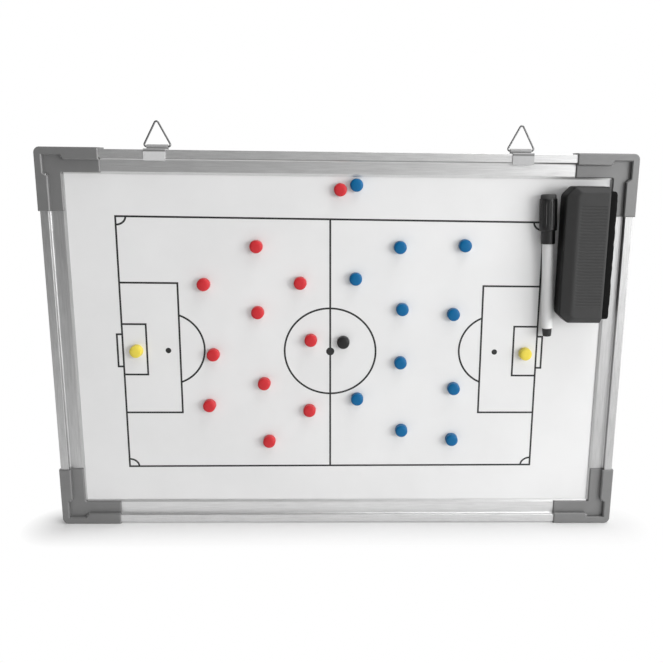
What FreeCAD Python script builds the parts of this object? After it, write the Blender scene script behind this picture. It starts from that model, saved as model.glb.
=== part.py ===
import FreeCAD, Part
import Sketcher
import math
import os

# A magnetic tactics board: a white lacquered steel panel in an aluminium frame with plastic
# corner caps, two wire hanging rings, magnetic counters, a marker pen and a felt eraser.
# It stands on its lower edge. X runs to the right, Y away from the writing face, Z up,
# with the origin under the middle of the whole set.

SIZES = {
    # Outer size of the board over its corner caps
    "board_width": 450.0,
    "board_height": 300.0,
    # Rail section: a hollow raised band outside, a flat flange over the panel inside
    "rail_band": 6.4,
    "rail_flange": 11.8,
    "rail_rise": 4.5,
    "rail_lip": 1.2,
    "rail_lip_edge": 0.6,
    "rail_lip_taper": 2.0,
    "rail_cove": 1.2,
    "rail_wall": 1.0,
    "rail_back_lip": 6.0,
    "rail_edge_round": 0.5,
    # Panel layers, front to back, and the play of its edges in the rails
    "steel_gauge": 0.4,
    "core_depth": 5.0,
    "backing_gauge": 0.3,
    "panel_play": 0.5,
    # Corner caps
    "cap_leg": 47.0,
    "cap_wall": 1.2,
    "cap_back_wall": 2.2,
    "cap_reveal": 1.0,
    "cap_step_wall": 1.5,
    "cap_fit": 0.1,
    "cap_notch": 5.7,
    "cap_notch_length": 18.8,
    "cap_notch_slant": 2.3,
    "cap_corner_round": 4.5,
    "cap_inner_round": 1.0,
    "cap_edge": 0.8,
    "tenon_length": 22.0,
    "tenon_fit": 0.2,
    "tenon_lead": 1.0,
    # Hanging straps, their rivets and their rings
    "hanger_inset": 88.0,
    "strap_width": 16.0,
    "strap_gauge": 0.8,
    "strap_front_leg": 8.0,
    "strap_back_leg": 7.0,
    "strap_bend": 0.9,
    "rivet_drop": 3.2,
    "rivet_radius": 1.2,
    "rivet_reach": 3.5,
    "rivet_head_radius": 2.2,
    "rivet_head_height": 1.2,
    "rivet_fit": 0.1,
    "wire_radius": 0.7,
    "eye_play": 0.08,
    "ring_width": 21.0,
    "ring_height": 18.8,
    "ring_bend": 1.5,
    "ring_split": 0.6,
    # Printed pitch that the counters stand on: margins to the board's edges, and how far the
    # pitch's middle lies to the left of the board's and below it
    "pitch_end_margin": 61.8,
    "pitch_side_margin": 50.4,
    "pitch_offset": 6.9,
    "pitch_drop": 1.2,
    # Counters
    "counter_radius": 5.0,
    "counter_height": 6.0,
    "counter_edge": 1.3,
    "disc_radius": 4.0,
    "disc_depth": 3.0,
    "disc_fit": 0.1,
    # Eraser, lying on its side in the upper right corner with the felt to the right
    "eraser_right_margin": 20.5,
    "eraser_top_margin": 24.2,
    "eraser_length": 102.4,
    "eraser_width": 25.0,
    "eraser_grip": 31.6,
    "eraser_corner": 6.5,
    "eraser_shoulder": 7.8,
    "eraser_end_shoulder": 4.3,
    "eraser_shoulder_drop": 4.5,
    "eraser_wall": 2.2,
    "eraser_end_wall": 8.0,
    "rib_pitch": 2.3,
    "rib_groove": 0.8,
    "rib_depth": 0.35,
    "rib_margin": 2.0,
    "felt_depth": 6.0,
    "felt_inset": 1.5,
    "felt_end_inset": 3.3,
    "felt_round": 2.0,
    "bar_width": 12.0,
    "bar_depth": 3.0,
    "bar_end_gap": 3.2,
    "bar_middle_gap": 20.0,
    # Marker pen to the left of the eraser, held by the magnet in its cap
    "pen_gap": 4.4,
    "pen_top_margin": 30.5,
    "pen_tilt": 2.8,
    "plug_length": 6.6,
    "plug_radius": 3.9,
    "plug_tip_radius": 3.2,
    "plug_spigot": 6.0,
    "spigot_fit": 0.05,
    "barrel_length": 67.8,
    "barrel_radius": 4.35,
    "barrel_wall": 0.85,
    "reservoir_play": 0.3,
    "holder_spigot": 8.0,
    "holder_radius": 4.1,
    "holder_length": 5.5,
    "holder_cone": 6.0,
    "holder_tip_radius": 2.2,
    "nib_radius": 1.5,
    "nib_reach": 4.0,
    "nib_point": 1.0,
    "cover_overlap": 2.0,
    "cover_play": 0.3,
    "skirt_length": 9.9,
    "skirt_radius": 5.3,
    "head_length": 24.1,
    "head_radius": 6.65,
    "head_edge": 1.2,
    "head_bore_radius": 3.7,
    "head_bore_depth": 10.0,
    "flat_reach": 6.2,
    "flute_width": 1.4,
    "flute_depth": 0.4,
    "flute_length": 16.0,
    "flute_start": 4.0,
    "slab_length": 16.0,
    "slab_width": 6.0,
    "slab_depth": 1.5,
    "slab_start": 4.5,
    "tip_felt_radius": 6.0,
    "tip_felt_seat": 3.0,
    "tip_felt_reach": 3.3,
    "tip_felt_edge": 0.9,
    # How far a cutting shape runs past the face that it opens
    "overrun": 1.0,
}

FLUTE_COUNT = 16
FULL_TURN = 360.0
# Small round pieces that repeat are many-sided, which keeps their faces few
COUNTER_SIDES = 16
DISC_SIDES = 8
WIRE_SIDES = 8
BEND_RUNS = 3
RIVET_SIDES = 12
# Two edges count as lying in one place when they are closer than this
NEAR = 0.001

# Where the counters stand, as shares of half the pitch's length and half its width
COUNTER_SHARES = {
    "red": [(-0.349, 0.791), (-0.60, 0.494), (-0.145, 0.51), (-0.348, 0.276), (-0.565, -0.066),
            (-0.096, 0.056), (-0.323, -0.301), (-0.591, -0.485), (-0.104, -0.524), (-0.303, -0.786)],
    "blue": [(0.326, 0.794), (0.632, 0.812), (0.118, 0.546), (0.342, 0.308), (0.588, 0.271),
             (0.338, -0.124), (0.601, -0.336), (0.129, -0.426), (0.349, -0.691), (0.60, -0.768)],
    "yellow": [(-0.931, -0.039), (0.945, -0.046)],
    "black": [(0.06, 0.041)],
}
# Counters above the pitch, as shares of half its length and of the strip up to the top rail
BENCH_SHARES = {"red": [(0.044, 0.70)], "blue": [(0.119, 0.812)]}

doc = FreeCAD.newDocument("tactics_board")
sheet = doc.addObject("Spreadsheet::Sheet", "sizes")


class Size:
    """A length, with the expression in the sheet's aliases that gives it."""

    def __init__(self, value, text):
        self.value = value
        self.text = text

    def __add__(self, other):
        return combine(self, "+", other)

    def __radd__(self, other):
        return combine(other, "+", self)

    def __sub__(self, other):
        return combine(self, "-", other)

    def __rsub__(self, other):
        return combine(other, "-", self)

    def __mul__(self, other):
        return combine(self, "*", other)

    def __rmul__(self, other):
        return combine(other, "*", self)

    def __truediv__(self, other):
        return combine(self, "/", other)

    def __neg__(self):
        return combine(-1, "*", self)


def as_size(number):
    """The number itself as a size, unless it is one already."""
    if isinstance(number, Size):
        return number
    return Size(number, repr(number))


def combine(left, sign, right):
    """The sum, difference, product or quotient of two sizes, in value and in words."""
    left = as_size(left)
    right = as_size(right)
    value = {
        "+": left.value + right.value,
        "-": left.value - right.value,
        "*": left.value * right.value,
        "/": left.value / right.value if right.value else 0,
    }[sign]
    return Size(value, "(%s %s %s)" % (left.text, sign, right.text))


class Sheet:
    """The driving dimensions by name."""


size = Sheet()
for row, (alias, value) in enumerate(SIZES.items(), 1):
    sheet.set("A%d" % row, alias)
    sheet.set("B%d" % row, str(value))
    sheet.setAlias("B%d" % row, alias)
    setattr(size, alias, Size(value, "sizes.%s" % alias))
doc.recompute()

# Sizes that several pieces share
panel_depth = size.steel_gauge + size.core_depth + size.backing_gauge
rail_face = size.rail_band + size.rail_flange
rail_back = panel_depth + size.rail_lip
board_back = rail_back + size.cap_back_wall
corner_block = size.cap_wall + rail_face
writing_face = (size.eraser_width - board_back) / 2
eye_radius = size.wire_radius + size.eye_play + size.strap_gauge
eye_height = size.strap_gauge + eye_radius
eye_depth = rail_back + size.strap_gauge - eye_radius


def new_body(name):
    """An empty body with its own label."""
    body = doc.addObject("PartDesign::Body", name)
    body.Label = name
    return body


def place(piece, x=0, y=0, z=0, axis=FreeCAD.Vector(0, 1, 0), angle=0):
    """Stand a piece at a bound place, turned about an axis through its own origin."""
    angle = as_size(angle)
    piece.Placement = FreeCAD.Placement(FreeCAD.Vector(), FreeCAD.Rotation(axis, angle.value))
    for letter, length in (("x", x), ("y", y), ("z", z)):
        piece.setExpression("Placement.Base.%s" % letter, as_size(length).text)


def new_sketch(body, role, name, lift=0):
    """A sketch on one of the body's origin planes, lifted along the plane's normal."""
    sketch = body.newObject("Sketcher::SketchObject", name)
    plane = [feature for feature in body.Origin.OriginFeatures if feature.Role == role][0]
    sketch.AttachmentSupport = (plane, [""])
    sketch.MapMode = "FlatFace"
    sketch.setExpression("AttachmentOffset.Base.z", as_size(lift).text)
    return sketch


def hold(sketch, kind, target, length):
    """Bind one distance or radius of a sketch to the sheet."""
    length = as_size(length)
    number = sketch.addConstraint(Sketcher.Constraint(kind, *target, length.value))
    sketch.setExpression("Constraints[%d]" % number, length.text)


def hold_point(sketch, line, end, u, v):
    """Hold one point of a sketch at a bound distance from the sketch's origin."""
    hold(sketch, "DistanceX", (-1, 1, line, end), u)
    hold(sketch, "DistanceY", (-1, 1, line, end), v)


def flat_point(u, v):
    """A point in a sketch's own plane."""
    return FreeCAD.Vector(as_size(u).value, as_size(v).value, 0)


def draw_outline(sketch, points):
    """A closed run of straight lines through bound points."""
    first = sketch.GeometryCount
    count = len(points)
    for index, (u, v) in enumerate(points):
        after_u, after_v = points[(index + 1) % count]
        sketch.addGeometry(Part.LineSegment(flat_point(u, v), flat_point(after_u, after_v)), False)
    for index in range(count):
        after = first + (index + 1) % count
        sketch.addConstraint(Sketcher.Constraint("Coincident", first + index, 2, after, 1))
    for index, (u, v) in enumerate(points):
        hold_point(sketch, first + index, 1, u, v)


def draw_path(sketch, points):
    """An open run of straight lines through bound points."""
    for (u, v), (after_u, after_v) in zip(points, points[1:]):
        sketch.addGeometry(Part.LineSegment(flat_point(u, v), flat_point(after_u, after_v)), False)
    for line in range(len(points) - 2):
        sketch.addConstraint(Sketcher.Constraint("Coincident", line, 2, line + 1, 1))
    for line, (u, v) in enumerate(points[:-1]):
        hold_point(sketch, line, 1, u, v)
    hold_point(sketch, len(points) - 2, 2, *points[-1])


def draw_box(sketch, low_u, low_v, high_u, high_v):
    """A closed rectangle between two bound corners."""
    draw_outline(sketch, [(low_u, low_v), (high_u, low_v), (high_u, high_v), (low_u, high_v)])


def draw_polygon(sketch, u, v, radius, sides):
    """A regular polygon whose corners lie on a circle, the first of them to the right."""
    turns = [2 * math.pi * corner / sides for corner in range(sides)]
    draw_outline(sketch, [(u + radius * math.cos(turn), v + radius * math.sin(turn)) for turn in turns])


def draw_circle(sketch, u, v, radius):
    """A full circle at a bound place."""
    up = FreeCAD.Vector(0, 0, 1)
    line = sketch.addGeometry(Part.Circle(flat_point(u, v), up, radius.value), False)
    hold_point(sketch, line, 3, u, v)
    hold(sketch, "Radius", (line,), radius)


def extrude(body, kind, sketch, length, reverse=False):
    """Pad or pocket a sketch by a bound length."""
    feature = body.newObject("PartDesign::%s" % kind, "%s_%s" % (sketch.Name, kind.lower()))
    feature.Profile = sketch
    feature.setExpression("Length", length.text)
    feature.Reversed = reverse
    return feature


def revolve(body, role, points):
    """Turn a closed profile all round the vertical axis of its sketch."""
    sketch = new_sketch(body, role, "%s_profile" % body.Name)
    draw_outline(sketch, points)
    feature = body.newObject("PartDesign::Revolution", "%s_turned" % body.Name)
    feature.Profile = sketch
    feature.ReferenceAxis = (sketch, ["V_Axis"])
    feature.Angle = FULL_TURN
    return feature


def near(first, second):
    """True where two lengths are the same."""
    return abs(as_size(first).value - as_size(second).value) < NEAR


def edges_where(feature, test):
    """Names of the edges whose two ends and middle all pass the test."""
    doc.recompute()
    names = []
    for number, edge in enumerate(feature.Shape.Edges, 1):
        middle = edge.valueAt((edge.FirstParameter + edge.LastParameter) / 2)
        points = [edge.valueAt(edge.FirstParameter), middle, edge.valueAt(edge.LastParameter)]
        if all(test(point) for point in points):
            names.append("Edge%d" % number)
    return names


def soften(body, kind, feature, test, length):
    """Round or chamfer those edges of a feature that pass the test."""
    names = edges_where(feature, test)
    dressed = body.newObject("PartDesign::%s" % kind, "%s_%s" % (feature.Name, kind.lower()))
    dressed.Base = (feature, names)
    dressed.setExpression("Radius" if kind == "Fillet" else "Size", length.text)
    return dressed


def gather(name, pieces):
    """Several separate solids under one label."""
    group = doc.addObject("Part::Compound", name)
    group.Label = name
    group.Links = pieces
    return group


nodes = []


# Rails: one extruded aluminium section cut to length for each side
def rail_section(sketch):
    """The section across a rail: depth from the writing face, then distance from its outer face."""
    draw_outline(sketch, [
        (-size.rail_rise, 0),
        (-size.rail_rise, size.rail_band),
        (-size.rail_lip, size.rail_band),
        (-size.rail_lip, rail_face - size.rail_lip_taper),
        (-size.rail_lip_edge, rail_face),
        (0, rail_face),
        (0, size.rail_band),
        (panel_depth, size.rail_band),
        (panel_depth, size.rail_band + size.rail_back_lip),
        (rail_back, size.rail_band + size.rail_back_lip),
        (rail_back, 0),
    ])
    draw_box(sketch, size.rail_wall - size.rail_rise, size.rail_wall,
             rail_back - size.rail_wall, size.rail_band - size.rail_wall)


def make_rail(name, length, hole_places, x, z, angle):
    """A rail with its outer face down, drilled from behind where asked, then turned to its side."""
    body = new_body(name)
    section = new_sketch(body, "YZ_Plane", "%s_section" % name, -length / 2)
    rail_section(section)
    bar = extrude(body, "Pad", section, length)
    edged = soften(body, "Fillet", bar,
                   lambda point: near(point.y, -size.rail_rise)
                   and (near(point.z, 0) or near(point.z, size.rail_band)),
                   size.rail_edge_round)
    soften(body, "Fillet", edged,
           lambda point: near(point.y, -size.rail_lip) and near(point.z, size.rail_band),
           size.rail_cove)
    if hole_places:
        drill = new_sketch(body, "XZ_Plane", "%s_holes" % name, -rail_back)
        for along in hole_places:
            draw_polygon(drill, along, size.rivet_drop, size.rivet_radius + size.rivet_fit, RIVET_SIDES)
        extrude(body, "Pocket", drill, size.rail_wall + size.overrun, reverse=True)
    place(body, x, writing_face, z, angle=angle)
    nodes.append(body)


long_rail = size.board_width - 2 * corner_block
short_rail = size.board_height - 2 * corner_block
hanger_x = size.board_width / 2 - size.hanger_inset
side_x = size.board_width / 2 - size.cap_wall
middle_z = size.board_height / 2
make_rail("bottom_rail", long_rail, [], 0, size.cap_wall, 0)
make_rail("top_rail", long_rail, [-hanger_x, hanger_x], 0, size.board_height - size.cap_wall, 180)
make_rail("left_rail", short_rail, [], -side_x, middle_z, 90)
make_rail("right_rail", short_rail, [], side_x, middle_z, -90)


# Panel: a lacquered steel sheet, a fibre core and a thin steel backing, held in the rails
def make_layer(name, front, depth):
    """One layer of the panel, which reaches into the rails on all four sides."""
    margin = size.cap_wall + size.rail_band + size.panel_play
    layer = doc.addObject("Part::Box", name)
    layer.Label = name
    layer.setExpression("Length", (size.board_width - 2 * margin).text)
    layer.setExpression("Width", depth.text)
    layer.setExpression("Height", (size.board_height - 2 * margin).text)
    place(layer, margin - size.board_width / 2, writing_face + front, margin)
    nodes.append(layer)


make_layer("writing_sheet", as_size(0), size.steel_gauge)
make_layer("core_board", size.steel_gauge, size.core_depth)
make_layer("backing_sheet", size.steel_gauge + size.core_depth, size.backing_gauge)

# Corner caps: moulded plastic, stepped like the rails, with a tenon pushed into each rail's hollow
cap_width = corner_block - size.cap_reveal
cap_front = size.rail_rise + size.cap_wall
cap_band = size.cap_wall + size.rail_band + size.cap_step_wall
cap_notch_end = size.cap_notch_length + size.cap_notch_slant


def rail_space(depth_first):
    """The room that a rail and the panel take up inside one leg of a cap."""
    fit = size.cap_fit
    band_end = size.cap_wall + size.rail_band + fit
    points = [
        (-size.rail_rise - fit, size.cap_wall - fit),
        (-size.rail_rise - fit, band_end),
        (-size.rail_lip - size.rail_cove - fit, band_end),
        (-size.rail_lip - fit, band_end + size.rail_cove),
        (-size.rail_lip - fit, cap_width + size.overrun),
        (rail_back + fit, cap_width + size.overrun),
        (rail_back + fit, size.cap_wall - fit),
    ]
    return points if depth_first else [(across, depth) for depth, across in points]


def make_cap(name, x, z, angle):
    """A cap with its outer corner at its own origin and its legs along X and Z."""
    body = new_body(name)
    leg = size.cap_leg
    past_leg = leg + size.overrun
    past_width = cap_width + size.overrun

    plan = new_sketch(body, "XZ_Plane", "%s_plan" % name, cap_front)
    draw_outline(plan, [(0, 0), (leg, 0), (leg, cap_width), (cap_width, cap_width),
                        (cap_width, leg), (0, leg)])
    block = extrude(body, "Pad", plan, cap_front + board_back, reverse=True)
    rounded = soften(body, "Fillet", block, lambda point: near(point.x, 0) and near(point.z, 0),
                     size.cap_corner_round)
    soften(body, "Fillet", rounded,
           lambda point: near(point.x, cap_width) and near(point.z, cap_width),
           size.cap_inner_round)

    step = new_sketch(body, "XZ_Plane", "%s_step" % name, cap_front)
    draw_outline(step, [
        (past_leg, cap_band),
        (cap_notch_end, cap_band),
        (size.cap_notch_length, size.cap_notch),
        (size.cap_notch, size.cap_notch),
        (size.cap_notch, size.cap_notch_length),
        (cap_band, cap_notch_end),
        (cap_band, past_leg),
        (past_width, past_leg),
        (past_width, past_width),
        (past_leg, past_width),
    ])
    stepped = extrude(body, "Pocket", step, size.rail_rise - size.rail_lip)

    low_front = size.rail_lip + size.cap_wall

    def front_rim(point):
        """Every edge of the raised band's front, and the inner rim and ends of the lower step."""
        if near(point.y, -cap_front):
            return True
        if near(point.y, -low_front):
            inner = cap_width.value - NEAR
            return min(point.x, point.z) > inner or near(max(point.x, point.z), leg)
        return False

    soften(body, "Chamfer", stepped, front_rim, size.cap_edge)

    along_x = new_sketch(body, "YZ_Plane", "%s_rail_room_x" % name, leg)
    draw_outline(along_x, rail_space(True))
    extrude(body, "Pocket", along_x, leg - corner_block)
    along_z = new_sketch(body, "XY_Plane", "%s_rail_room_z" % name, leg)
    draw_outline(along_z, rail_space(False))
    extrude(body, "Pocket", along_z, leg - corner_block)
    panel_edge = size.cap_wall + size.rail_band
    slot = new_sketch(body, "XZ_Plane", "%s_panel_slot" % name)
    draw_box(slot, panel_edge, panel_edge, past_width, past_width)
    extrude(body, "Pocket", slot, panel_depth)

    tenon_front = size.rail_wall + size.tenon_fit - size.rail_rise
    tenon_back = rail_back - size.rail_wall - size.tenon_fit
    tenon_low = size.cap_wall + size.rail_wall + size.tenon_fit
    tenon_high = size.cap_wall + size.rail_band - size.rail_wall - size.tenon_fit
    tenon_x = new_sketch(body, "YZ_Plane", "%s_tenon_x" % name, corner_block)
    draw_box(tenon_x, tenon_front, tenon_low, tenon_back, tenon_high)
    extrude(body, "Pad", tenon_x, size.tenon_length)
    tenon_z = new_sketch(body, "XY_Plane", "%s_tenon_z" % name, corner_block)
    draw_box(tenon_z, tenon_low, tenon_front, tenon_high, tenon_back)
    tenons = extrude(body, "Pad", tenon_z, size.tenon_length)
    tenon_tip = corner_block + size.tenon_length
    soften(body, "Chamfer", tenons,
           lambda point: (near(point.x, tenon_tip) and near(point.z, tenon_low))
           or (near(point.z, tenon_tip) and near(point.x, tenon_low)),
           size.tenon_lead)

    place(body, x, writing_face, z, angle=angle)
    nodes.append(body)


half_width = size.board_width / 2
CORNERS = [
    ("bottom_left_cap", -half_width, as_size(0), 0),
    ("bottom_right_cap", half_width, as_size(0), -90),
    ("top_right_cap", half_width, size.board_height, 180),
    ("top_left_cap", -half_width, size.board_height, 90),
]
for cap_name, corner_x, corner_z, turn in CORNERS:
    make_cap(cap_name, corner_x, corner_z, turn)


# Hangers: a bent steel strap over the top rail, with an eye at its back for the wire ring
rail_top = size.board_height - size.cap_wall


def make_strap(name, x):
    """A strap bent over the rail, whose eye stands above its back edge."""
    body = new_body(name)
    gauge = size.strap_gauge
    front = size.rail_rise + gauge
    bend = new_sketch(body, "YZ_Plane", "%s_bend" % name, -size.strap_width / 2)
    draw_outline(bend, [
        (-front, -size.strap_front_leg),
        (-size.rail_rise, -size.strap_front_leg),
        (-size.rail_rise, 0),
        (rail_back, 0),
        (rail_back, -size.strap_back_leg),
        (rail_back + gauge, -size.strap_back_leg),
        (rail_back + gauge, eye_height),
        (eye_depth, eye_height),
        (eye_depth, gauge),
        (-front, gauge),
    ])
    strip = extrude(body, "Pad", bend, size.strap_width)
    soften(body, "Fillet", strip,
           lambda point: near(point.y, -front) and near(point.z, gauge), size.strap_bend)
    roll = new_sketch(body, "YZ_Plane", "%s_roll" % name, -size.strap_width / 2)
    draw_circle(roll, eye_depth, eye_height, eye_radius)
    extrude(body, "Pad", roll, size.strap_width)
    eye = new_sketch(body, "YZ_Plane", "%s_eye" % name, -size.strap_width / 2)
    draw_circle(eye, eye_depth, eye_height, size.wire_radius + size.eye_play)
    extrude(body, "Pocket", eye, size.strap_width, reverse=True)
    drill = new_sketch(body, "XZ_Plane", "%s_hole" % name, -rail_back)
    draw_polygon(drill, as_size(0), -size.rivet_drop, size.rivet_radius + size.rivet_fit, RIVET_SIDES)
    extrude(body, "Pocket", drill, gauge)
    place(body, x, writing_face, rail_top)
    nodes.append(body)


def make_rivet(name, x):
    """A flat-headed rivet through the strap's back leg and the rail's back wall."""
    body = new_body(name)
    head = new_sketch(body, "XZ_Plane", "%s_head" % name)
    draw_polygon(head, as_size(0), as_size(0), size.rivet_head_radius, RIVET_SIDES)
    extrude(body, "Pad", head, size.rivet_head_height, reverse=True)
    shank = new_sketch(body, "XZ_Plane", "%s_shank" % name)
    draw_polygon(shank, as_size(0), as_size(0), size.rivet_radius, RIVET_SIDES)
    extrude(body, "Pad", shank, size.rivet_reach)
    place(body, x, writing_face + rail_back + size.strap_gauge, rail_top - size.rivet_drop)
    return body


def make_ring(name, x):
    """A triangle of wire: its foot turns in the strap's eye, and its split is hidden there."""
    body = new_body(name)
    bend = size.ring_bend
    corner_x = size.ring_width / 2 - size.wire_radius - bend
    apex_z = size.ring_height - size.wire_radius - bend
    lean = math.atan2(corner_x.value, apex_z.value - bend.value)

    def bend_points(centre_x, centre_z, start, end):
        """Points round one bend, which is made of a few short straight runs."""
        turns = [start + (end - start) * step / BEND_RUNS for step in range(BEND_RUNS + 1)]
        return [(centre_x + bend * math.cos(turn), centre_z + bend * math.sin(turn)) for turn in turns]

    half_split = size.ring_split / 2
    path = new_sketch(body, "XZ_Plane", "%s_path" % name)
    draw_path(path, [(half_split, as_size(0))]
              + bend_points(corner_x, bend, -math.pi / 2, lean)
              + bend_points(as_size(0), apex_z, lean, math.pi - lean)
              + bend_points(-corner_x, bend, math.pi - lean, 3 * math.pi / 2)
              + [(-half_split, as_size(0))])
    wire = new_sketch(body, "YZ_Plane", "%s_wire" % name, half_split)
    draw_polygon(wire, as_size(0), as_size(0), size.wire_radius, WIRE_SIDES)
    pipe = body.newObject("PartDesign::AdditivePipe", "%s_bent" % name)
    pipe.Profile = wire
    pipe.Spine = (path, [])
    pipe.Transition = "Right corner"
    place(body, x, writing_face + eye_depth, rail_top + eye_height)
    nodes.append(body)


for side, side_name in ((-1, "left"), (1, "right")):
    make_strap("hanger_strap_%s" % side_name, side * hanger_x)
nodes.append(gather("hanger_rivets", [
    make_rivet("hanger_rivet_%s" % side_name, side * hanger_x)
    for side, side_name in ((-1, "left"), (1, "right"))]))
for side, side_name in ((-1, "left"), (1, "right")):
    make_ring("hanger_ring_%s" % side_name, side * hanger_x)


# Counters: a plastic button with a magnet disc set into its underside
def make_counter(name, x, z):
    """A button with a bevelled front edge, and its disc, both flat against the writing face."""
    button = new_body("%s_button" % name)
    foot = new_sketch(button, "XZ_Plane", "%s_foot" % name)
    draw_polygon(foot, as_size(0), as_size(0), size.counter_radius, COUNTER_SIDES)
    block = extrude(button, "Pad", foot, size.counter_height)
    soften(button, "Chamfer", block, lambda point: near(point.y, -size.counter_height), size.counter_edge)
    seat = new_sketch(button, "XZ_Plane", "%s_seat" % name)
    draw_polygon(seat, as_size(0), as_size(0), size.disc_radius + size.disc_fit, DISC_SIDES)
    extrude(button, "Pocket", seat, size.disc_depth, reverse=True)
    place(button, x, writing_face, z)
    disc = doc.addObject("Part::Prism", "%s_disc" % name)
    disc.Polygon = DISC_SIDES
    disc.setExpression("Circumradius", size.disc_radius.text)
    disc.setExpression("Height", size.disc_depth.text)
    place(disc, x, writing_face, z, FreeCAD.Vector(1, 0, 0), 90)
    nodes.append(gather(name, [button, disc]))


half_pitch = size.board_width / 2 - size.pitch_end_margin
pitch_rise = size.board_height / 2 - size.pitch_side_margin
pitch_middle = size.board_height / 2 - size.pitch_drop
bench_strip = size.pitch_side_margin + size.pitch_drop - corner_block
for colour, places in COUNTER_SHARES.items():
    spots = [(along, pitch_middle + across * pitch_rise) for along, across in places]
    for along, up in BENCH_SHARES.get(colour, []):
        spots.append((along, pitch_middle + pitch_rise + up * bench_strip))
    for number, (along_share, spot_z) in enumerate(spots, 1):
        make_counter("%s_counter_%02d" % (colour, number),
                     along_share * half_pitch - size.pitch_offset, spot_z)

# Eraser: a ribbed plastic grip, hollow from the felt side, two magnet bars and a felt pad
eraser_left = half_width - size.eraser_right_margin - size.felt_depth - size.eraser_grip
eraser_bottom = size.board_height - size.eraser_top_margin - size.eraser_length
eraser_z = eraser_bottom + size.eraser_length / 2
half_length = size.eraser_length / 2
half_body = size.eraser_width / 2
room_end = half_length - size.eraser_end_wall


def grip_outline(sketch, shoulder, end_shoulder):
    """The grip from the front: square on the felt side, with its two left corners cut."""
    left = shoulder
    end = half_length - end_shoulder
    corner = size.eraser_corner
    draw_outline(sketch, [
        (size.eraser_grip, -end),
        (size.eraser_grip, end),
        (left + corner, end),
        (left, end - corner),
        (left, corner - end),
        (left + corner, -end),
    ])


def make_eraser_grip():
    """The grip lies on one side, with a shoulder round its front and its back."""
    body = new_body("eraser_grip")
    straight = half_body - size.eraser_shoulder_drop
    plain = new_sketch(body, "XZ_Plane", "grip_middle", -straight)
    grip_outline(plain, as_size(0), as_size(0))
    extrude(body, "Pad", plain, 2 * straight)
    for side, side_name in ((1, "front"), (-1, "back")):
        wide = new_sketch(body, "XZ_Plane", "grip_%s_wide" % side_name, side * straight)
        grip_outline(wide, as_size(0), as_size(0))
        narrow = new_sketch(body, "XZ_Plane", "grip_%s_narrow" % side_name, side * half_body)
        grip_outline(narrow, size.eraser_shoulder, size.eraser_end_shoulder)
        shoulder = body.newObject("PartDesign::AdditiveLoft", "grip_%s_shoulder" % side_name)
        shoulder.Profile = wide
        shoulder.Sections = [narrow]
        shoulder.Ruled = True

    hollow = new_sketch(body, "YZ_Plane", "grip_hollow", size.eraser_grip)
    room = half_body - size.eraser_wall
    draw_box(hollow, -room, -room_end, room, room_end)
    extrude(body, "Pocket", hollow, size.eraser_grip - size.eraser_shoulder)

    face_end = half_length - size.eraser_end_shoulder - size.eraser_corner
    groove = new_sketch(body, "XZ_Plane", "grip_rib_groove", half_body)
    draw_box(groove, size.eraser_shoulder + size.rib_margin, -face_end,
             size.eraser_grip - size.rib_margin, size.rib_groove - face_end)
    cut = extrude(body, "Pocket", groove, size.rib_depth)
    doc.recompute()
    span = 2 * face_end - size.rib_groove
    ribs = body.newObject("PartDesign::LinearPattern", "grip_ribs")
    ribs.Originals = [cut]
    ribs.Direction = (groove, ["V_Axis"])
    ribs.setExpression("Length", span.text)
    ribs.setExpression("Occurrences", "floor(%s / sizes.rib_pitch) + 1" % span.text)
    body.Tip = ribs
    place(body, eraser_left, writing_face - half_body, eraser_z)
    nodes.append(body)


def make_eraser_felt():
    """The felt pad, glued to the open side of the grip and a little smaller than it."""
    body = new_body("eraser_felt")
    pad = new_sketch(body, "YZ_Plane", "felt_pad")
    half_felt = half_body - size.felt_inset
    felt_end = half_length - size.felt_end_inset
    draw_box(pad, -half_felt, -felt_end, half_felt, felt_end)
    slab = extrude(body, "Pad", pad, size.felt_depth)
    soften(body, "Fillet", slab,
           lambda point: near(abs(point.y), half_felt) and near(abs(point.z), felt_end),
           size.felt_round)
    place(body, eraser_left + size.eraser_grip, writing_face - half_body, eraser_z)
    nodes.append(body)


def make_eraser_bars():
    """Two flat magnet bars inside the wall that lies on the board."""
    bars = []
    far_end = room_end - size.bar_end_gap
    near_end = size.bar_middle_gap / 2
    for foot, side_name in ((-far_end, "low"), (near_end, "high")):
        bar = doc.addObject("Part::Box", "eraser_bar_%s" % side_name)
        bar.setExpression("Length", size.bar_width.text)
        bar.setExpression("Width", size.bar_depth.text)
        bar.setExpression("Height", (far_end - near_end).text)
        middle_x = eraser_left + (size.eraser_grip + size.eraser_shoulder) / 2
        place(bar, middle_x - size.bar_width / 2, writing_face - size.eraser_wall - size.bar_depth,
              eraser_z + foot)
        bars.append(bar)
    nodes.append(gather("eraser_magnets", bars))


make_eraser_grip()
make_eraser_felt()
make_eraser_bars()

# Marker pen: heights run up the pen from its tail
barrel_bore = size.barrel_radius - size.barrel_wall
barrel_mouth = size.plug_length + size.barrel_length
spigot_radius = barrel_bore - size.spigot_fit
holder_foot = barrel_mouth - size.holder_spigot
holder_shoulder = barrel_mouth + size.holder_length
holder_tip = holder_shoulder + size.holder_cone
nib_bore = size.nib_radius + size.spigot_fit
cover_rim = barrel_mouth - size.cover_overlap
head_foot = cover_rim + size.skirt_length
head_top = head_foot + size.head_length
upright_share = math.cos(math.radians(size.pen_tilt.value))
pen_tail = size.board_height - size.pen_top_margin - (head_top + size.tip_felt_reach) * upright_share


def stand_pen(body):
    """Lean a pen piece to the left about the pen's tail, on the line that the cap's flat gives."""
    place(body, eraser_left - size.pen_gap, writing_face - size.flat_reach, pen_tail,
          FreeCAD.Vector(0, -1, 0), size.pen_tilt)
    body.setExpression("Placement.Rotation.Angle", size.pen_tilt.text)
    nodes.append(body)


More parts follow.
